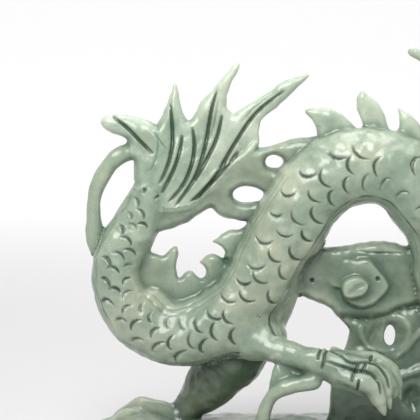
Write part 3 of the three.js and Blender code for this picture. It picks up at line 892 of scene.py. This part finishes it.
def engrave_rings(chosen, place, angle, size):
    """Rings ground round the foot of the comb, inside the rear bend."""
    bend = owned("rear_bend", "back_rise")[chosen]
    for angle_at, depth in RINGS:
        away = np.abs(np.abs(angle) - angle_at - 0.06 * np.sin(place * 2.1)) * size
        engrave(chosen, groove(away, RING_WIDTH, depth) * bend, groove(away, 0.6, 0.45) * bend)


SEAM = ((-90.6, 112.5), (-54.2, 132.8))  # the edge between the fan and the web, over X and Z
PAST_SEAM = 3.5  # how far past it the lines of the fan go


def engrave_tail():
    """The lines that run from the root of the fan into its flames."""
    (x, z), (end_x, end_z) = SEAM
    above = (points[:, 2] - z) * (end_x - x) - (points[:, 0] - x) * (end_z - z)
    above /= math.hypot(end_x - x, end_z - z)
    flames = owned("tail_flame", "tail_web", "tail_root") & (above > -PAST_SEAM)
    lines = [
        [[-116, 152.5], [-110, 148], [-103.5, 141.5], [-99.5, 137.5], [-97.5, 135.5]],
        [[-90, 158.5], [-89, 149], [-89, 139.5], [-91, 130.5], [-95, 121.5]],
        [[-84.5, 144.5], [-85.5, 137.5], [-88.5, 128], [-94, 117.5]],
        [[-80, 148], [-79, 139.5], [-80.5, 130], [-84.5, 121], [-91, 113.5]],
        [[-69, 164.5], [-71.5, 154.5], [-73.5, 142.5], [-75.5, 134], [-79.5, 123.5], [-88, 111.5]],
        [[-66.5, 153.5], [-69, 142.5], [-74, 132], [-79, 123]],
        [[-59, 137], [-64.5, 130], [-69.5, 124.5], [-76.5, 117.5], [-81, 113.5]],
        [[-38, 164.5], [-48, 157], [-54.5, 150], [-61, 140], [-66, 131.5], [-71.5, 123], [-83, 109.5]],
    ]
    faint_lines = [
        [[-99, 147], [-94.5, 141.5], [-91, 136.5]],
        [[-95.5, 146.5], [-95.5, 138], [-97.5, 130], [-101, 127]],
        [[-68, 161], [-70, 150], [-72.5, 141]],
        [[-42, 164], [-52, 156.5], [-58.5, 149]],
    ]
    for line in lines:
        engrave_line(flames, line, 1.1, 1.5)
    for line in faint_lines:
        engrave_line(flames, line, 0.7, 0.4)


def engrave_scroll():
    """A line along the top of the scroll and a drilled dot at either end of its spiral."""
    cloud = owned("cloud_scroll") & (points[:, 1] < 2)
    engrave_line(cloud, [[-6, 92], [1, 91], [8, 91], [15, 90.5]], 0.8, 0.6)
    for x, z in ((-26, 78.5), (3.5, 79.5)):
        away = np.hypot(points[cloud, 0] - x, points[cloud, 2] - z)
        engrave(cloud, groove(away, 1.3, 1.5))


def engrave_foot():
    """The lines between the toes and across the palm and ankle."""
    foot = owned("hind_foot_near", "hind_leg_near") & (points[:, 1] < -14)
    lines = [
        [[-23.5, 42], [-22.5, 46], [-21, 48.5]],
        [[-22, 37.5], [-20.5, 42.5], [-20, 45.5], [-18, 48.5]],
        [[-18.7, 47.2], [-14, 45.2], [-8.5, 41.2], [-1.8, 41.2], [3.6, 39.8], [7.6, 35], [9.7, 28.3]],
        [[-20.7, 41.9], [-14, 39.8], [-7.2, 37.8], [-1.8, 37.1], [2.2, 35.1], [5, 31], [5.6, 25.6]],
        [[-6.5, 36.5], [-4.5, 41]],
        [[-3, 36.5], [-1, 41.5]],
        [[0.5, 41.5], [1.2, 44.5]],
        [[-8.2, 31.5], [-7, 37]],
        [[-5.5, 27.5], [-4.5, 33.5]],
    ]
    for line in lines:
        engrave_line(foot, line, 0.9, 1.2)


COARSE_STEP = 1.5  # spacing of the grid that tells crevices from edges


def roundness_at(places):
    """Below zero in crevices, near zero on flats and above zero on edges and tips."""
    every = max(1, round(COARSE_STEP / STEP))
    coarse = blurred(np.clip(stone[::every, ::every, ::every], -PAD, PAD), 6)
    at = np.clip((places / STEP - first) / every, 0, np.array(coarse.shape) - 1.001)
    low = at.astype(int)
    share = at - low
    value = np.zeros(len(places))
    for i, j, k in np.ndindex(2, 2, 2):
        weight = np.prod(np.where([i, j, k], share, 1 - share), axis=1)
        value += weight * coarse[low[:, 0] + i, low[:, 1] + j, low[:, 2] + k]
    return value


def polish():
    """Soft unevenness left by hand grinding, everywhere but under the base."""
    random = np.random.default_rng(SEED)
    wave = np.zeros(len(points))
    for length, height, waves in ((26, 0.26, 10), (11, 0.2, 14), (5, 0.08, 16)):
        for _ in range(waves):
            direction = random.normal(size=3)
            direction *= 2 * math.pi / length / np.linalg.norm(direction)
            wave += height * math.sqrt(2 / waves) * np.sin(points @ direction + random.uniform(0, 6.3))
    return wave * (1 - ramp(-points[:, 2], -3, -0.5))


trunk = trunk_places()
engrave_scales(*trunk)
engrave_belly(*trunk)
engrave_rings(*trunk)
engrave_tail()
engrave_scroll()
engrave_foot()
carving += polish()
# The roundness drives the painted shade in crevices and the painted highlight on edges.
hollow = roundness_at(points)
points -= normals * carving[:, None]
points = np.clip(points, lowest, highest)
normals = normals_of(points, skin_faces)


def settle_walls(points, passes=12):
    """Lets the walls inside the stone hang smoothly from the skin."""
    start = wall_faces.ravel()
    end = np.roll(wall_faces, -1, axis=1).ravel()
    links = np.maximum(np.bincount(start, minlength=len(points)), 1)
    free = ~on_skin
    for _ in range(passes):
        for axis in range(3):
            mean = np.bincount(start, points[end, axis], len(points)) / links
            points[free, axis] = mean[free]


settle_walls(points)

# ================================================================ pieces

SLOTS = {
    "jade_cloud": ("cloud",),
    "jade_tail": ("tail_flame", "tail_curl", "tail_web"),
    "jade_fins": ("rear_comb", "arch_fin", "fall_fin", "front_comb", "neck_fin"),
    "jade_limbs": ("hind", "fore", "heel"),
    "jade_head": ("skull", "lower_jaw", "tongue", "horn", "whisker", "mane", "beard"),
    "jade_trunk": tuple(TRUNK_REGIONS),
}
TONE_AND_SHADE = {  # how much darker than the rest some regions are coloured: painted shade on the far hind leg and the rear comb, which lie in shadow, and a deeper or paler tone of the stone elsewhere
    "cloud": 0.14,
    "tail_flame": -0.12,
    "tail_web": 0.34,
    "tail_curl": 0.28,
    # painted shade: the comb lies in the trunk's shadow
    "rear_comb": 0.12,
    "arch_fin": -0.06,
    # painted shade: the far leg lies in the trunk's shadow
    "hind_leg_far": 0.58,
}


def piece_of(name, faces, material):
    """A closed mesh object of one region."""
    used, corners = np.unique(faces, return_inverse=True)
    mesh = bpy.data.meshes.new(name)
    mesh.vertices.add(len(used))
    mesh.vertices.foreach_set("co", (points[used] * MM).astype(np.float32).ravel())
    mesh.loops.add(faces.size)
    mesh.loops.foreach_set("vertex_index", corners.astype(np.int32).ravel())
    mesh.polygons.add(len(faces))
    mesh.polygons.foreach_set("loop_start", np.arange(0, faces.size, 4, dtype=np.int32))
    mesh.polygons.foreach_set("use_smooth", np.ones(len(faces), bool))
    mesh.update(calc_edges=True)
    for label, values in (("ink", ink), ("hollow", hollow)):
        data = mesh.attributes.new(label, "FLOAT", "POINT").data
        data.foreach_set("value", values[used].astype(np.float32))
    mesh.normals_split_custom_set_from_vertices(normals[used])
    mesh.materials.append(material)
    piece = bpy.data.objects.new(f"stone_{name}", mesh)
    bpy.context.scene.collection.objects.link(piece)
    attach(piece, "root")
    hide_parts(name)
    return piece


# ================================================================ materials


def nodes_of(material):
    """An empty node tree, with a function that adds a node and one that links two sockets. A node's
    options are its settings or the values of its inputs, with _ for a space."""
    material.use_nodes = True
    tree = material.node_tree
    tree.nodes.clear()

    def add(kind, **values):
        node = tree.nodes.new(kind)
        for key, value in values.items():
            if hasattr(node, key):
                setattr(node, key, value)
            else:
                node.inputs[key.replace("_", " ")].default_value = value
        return node

    def link(source, target):
        tree.links.new(source, target)

    return tree, add, link


def map_range(add, link, source, start, end, **options):
    """Turns the range `start` of a value into the range `end`."""
    node = add("ShaderNodeMapRange", **options)
    for socket, value in zip(("From Min", "From Max", "To Min", "To Max"), (*start, *end)):
        node.inputs[socket].default_value = value
    link(source, node.inputs["Value"])
    return node.outputs["Result"]


PALE = (0.42, 0.475, 0.37)
MID = (0.275, 0.345, 0.26)
DEEP = (0.165, 0.24, 0.17)
CREAM = (0.50, 0.50, 0.36)
# colour of the painted highlight on edges and tips
PAINTED_EDGE_HIGHLIGHT = (0.52, 0.59, 0.45)
# colour of the painted shade in crevices
PAINTED_CREVICE_SHADE = (0.07, 0.125, 0.08)
SPECK = (0.10, 0.14, 0.09)
CUT = (0.03, 0.055, 0.03)


def grey(value):
    return (value, value, value)


def jade(name, tone_and_shade):
    """Polished grey-green stone: cloudy colour, cream patches, dark specks, darker in the cuts, with
    painted shade in crevices, towards its foot and on regions in shadow, and a painted highlight on edges.
    """
    material = bpy.data.materials.new(name)
    tree, add, link = nodes_of(material)
    place = add("ShaderNodeTexCoord").outputs["Object"]

    def noise(scale, detail, roughness, distortion=0.0):
        node = add("ShaderNodeTexNoise", Scale=scale, Detail=detail, Roughness=roughness)
        node.inputs["Distortion"].default_value = distortion
        link(place, node.inputs["Vector"])
        return node.outputs["Fac"]

    def curve(source, *stops):
        node = add("ShaderNodeValToRGB")
        link(source, node.inputs["Fac"])
        ramp_stops = node.color_ramp.elements
        while len(ramp_stops) < len(stops):
            ramp_stops.new(0.5)
        for stop, (position, colour) in zip(ramp_stops, stops):
            stop.position = position
            stop.color = (*colour, 1)
        return node.outputs["Color"]

    def blend_of(factor, first_colour, second_colour, mode="MIX"):
        node = add("ShaderNodeMix", data_type="RGBA", blend_type=mode)
        if isinstance(factor, float):
            node.inputs["Factor"].default_value = factor
        else:
            link(factor, node.inputs["Factor"])
        for value, socket in ((first_colour, node.inputs[6]), (second_colour, node.inputs[7])):
            if isinstance(value, tuple):
                socket.default_value = (*value, 1)
            else:
                link(value, socket)
        return node.outputs[2]

    def attribute(label):
        return add("ShaderNodeAttribute", attribute_name=label).outputs["Fac"]

    colour = curve(noise(24, 5, 0.62, 0.8), (0.34, DEEP), (0.5, MID), (0.68, PALE))
    mottle = curve(noise(150, 4, 0.6, 0.5), (0.35, grey(0.42)), (0.65, grey(0.58)))
    colour = blend_of(0.55, colour, mottle, "OVERLAY")
    cream = curve(noise(34, 4, 0.55, 0.3), (0.54, grey(0)), (0.72, grey(0.55)))
    colour = blend_of(cream, colour, CREAM)
    # Painted highlight: lighter on edges and tips, where polished stone catches the light.
    edges = curve(attribute("hollow"), (0.3, grey(0)), (1.0, grey(0.45)))
    colour = blend_of(edges, colour, PAINTED_EDGE_HIGHLIGHT)
    # Painted shade: darker in crevices, where less light reaches.
    crevice_shade = map_range(add, link, attribute("hollow"), (0.3, -0.7), (0.0, 0.85))
    colour = blend_of(crevice_shade, colour, PAINTED_CREVICE_SHADE)
    height = add("ShaderNodeSeparateXYZ")
    link(place, height.inputs[0])
    # Painted shade and light: darker towards the foot of the block and a little lighter at its top, as the
    # light falls from above.
    painted_height_shading = map_range(add, link, height.outputs["Z"], (0.03, 0.15), (0.8, 1.06))
    colour = blend_of(1.0, colour, painted_height_shading, "MULTIPLY")
    # Painted shade on regions that lie in shadow, and a change of tone on others.
    colour = blend_of(1.0, colour, (1 - tone_and_shade, 1 - 0.9 * tone_and_shade, 1 - tone_and_shade), "MULTIPLY")
    speck = curve(noise(900, 2, 0.6), (0.68, grey(0)), (0.74, grey(0.8)))
    colour = blend_of(speck, colour, SPECK)
    cut = curve(attribute("ink"), (0.15, grey(0)), (0.95, grey(0.9)))
    colour = blend_of(cut, colour, CUT)
    shader = add("ShaderNodeBsdfPrincipled", Coat_Weight=0.35, Coat_Roughness=0.08)
    link(colour, shader.inputs["Base Color"])
    roughness = curve(noise(60, 4, 0.6), (0.3, grey(0.2)), (0.7, grey(0.42)))
    link(roughness, shader.inputs["Roughness"])
    fine = add("ShaderNodeBump", Strength=0.12, Distance=0.0004)
    link(noise(420, 5, 0.6), fine.inputs["Height"])
    link(fine.outputs["Normal"], shader.inputs["Normal"])
    output = add("ShaderNodeOutputMaterial")
    link(shader.outputs["BSDF"], output.inputs["Surface"])
    return material


materials = {}


def slot_of(region):
    """The material slot for a region, from SLOTS."""
    return next(slot for slot, starts in SLOTS.items() if region.startswith(starts))


def material_of(region):
    """The stone of a region, made once for each slot and darkening; the darkening is painted shade on
    regions in shadow and a change of tone elsewhere.
    """
    slot = slot_of(region)
    tone_and_shade = next((depth for start, depth in TONE_AND_SHADE.items() if region.startswith(start)), 0.0)
    if (slot, tone_and_shade) not in materials:
        materials[slot, tone_and_shade] = jade(slot, tone_and_shade)
    return materials[slot, tone_and_shade]


for number, region in enumerate(regions):
    piece = piece_of(region, faces[face_owner == number], material_of(region))

# ================================================================ studio


def backdrop_material():
    """Off-white paper that glows, more strongly towards the wall: painted light for paper lit from behind.
    """
    material = bpy.data.materials.new("backdrop")
    tree, add, link = nodes_of(material)
    place = add("ShaderNodeSeparateXYZ")
    link(add("ShaderNodeTexCoord").outputs["Object"], place.inputs[0])
    smooth = {"interpolation_type": "SMOOTHSTEP"}
    # Painted light: the paper glows, more strongly towards the wall.
    glow = map_range(add, link, place.outputs["Y"], (0.0, 1.5), (0.0, 0.575), **smooth)
    shader = add("ShaderNodeBsdfPrincipled", Base_Color=(0.61, 0.61, 0.61, 1), Roughness=0.9)
    shader.inputs["Emission Color"].default_value = (1, 1, 1, 1)
    link(glow, shader.inputs["Emission Strength"])
    link(shader.outputs["BSDF"], add("ShaderNodeOutputMaterial").inputs["Surface"])
    return material


FLOOR_REACH = 6.0  # in metres, towards the camera and to either side
FLOOR_END = 1.2  # where the floor begins to curve up
BEND_RADIUS = 0.8
WALL_TOP = 3.2


def add_backdrop():
    """A pale floor that curves up into a wall behind the figure."""
    turns = np.linspace(0, math.pi / 2, 16)
    bend = [(FLOOR_END + BEND_RADIUS * math.sin(a), BEND_RADIUS - BEND_RADIUS * math.cos(a)) for a in turns]
    profile = [(-FLOOR_REACH, 0), *bend, (FLOOR_END + BEND_RADIUS, WALL_TOP)]
    across = (-FLOOR_REACH, FLOOR_REACH)
    vertices = [(x, y, z) for y, z in profile for x in across]
    strips = [(2 * i, 2 * i + 1, 2 * i + 3, 2 * i + 2) for i in range(len(profile) - 1)]
    mesh = bpy.data.meshes.new("backdrop")
    mesh.from_pydata(vertices, [], strips)
    mesh.polygons.foreach_set("use_smooth", [True] * len(strips))
    mesh.materials.append(backdrop_material())
    backdrop = bpy.data.objects.new("backdrop", mesh)
    bpy.context.scene.collection.objects.link(backdrop)


def add_light(name, place, aim, size, power):
    light = bpy.data.lights.new(name, "AREA")
    light.shape = "RECTANGLE"
    light.size, light.size_y = size
    light.energy = power
    lamp = bpy.data.objects.new(name, light)
    lamp.location = place
    lamp.rotation_euler = (Vector(aim) - Vector(place)).to_track_quat("-Z", "Y").to_euler()
    bpy.context.scene.collection.objects.link(lamp)


def add_camera():
    """Level with the figure and a little above it, aimed at the rear half as the photograph is."""
    aim = Vector(AIM) * MM
    away = Vector((0, -math.cos(EYE_ELEVATION), math.sin(EYE_ELEVATION)))
    camera = bpy.data.cameras.new("camera")
    camera.sensor_width = 36
    camera.lens = camera.sensor_width * EYE_DISTANCE / VIEW_WIDTH
    eye = bpy.data.objects.new("camera", camera)
    eye.location = aim + away * EYE_DISTANCE
    eye.rotation_euler = (-away).to_track_quat("-Z", "Y").to_euler()
    bpy.context.scene.collection.objects.link(eye)
    bpy.context.scene.camera = eye


def add_studio():
    world = bpy.data.worlds.new("studio")
    world.use_nodes = True
    background = world.node_tree.nodes["Background"]
    background.inputs["Color"].default_value = (1, 1, 1, 1)
    background.inputs["Strength"].default_value = 0.34
    bpy.context.scene.view_settings.view_transform = "Standard"
    bpy.context.scene.world = world
    aim = (-0.05, 0, 0.09)
    add_light("key", (-0.3, -0.75, 0.85), aim, (0.7, 0.7), 12.5)
    add_light("top", (0.1, 0.1, 1.0), aim, (0.8, 0.6), 5)
    add_light("side", (0.9, -0.5, 0.35), aim, (0.25, 0.6), 1.2)


add_backdrop()
add_studio()
add_camera()
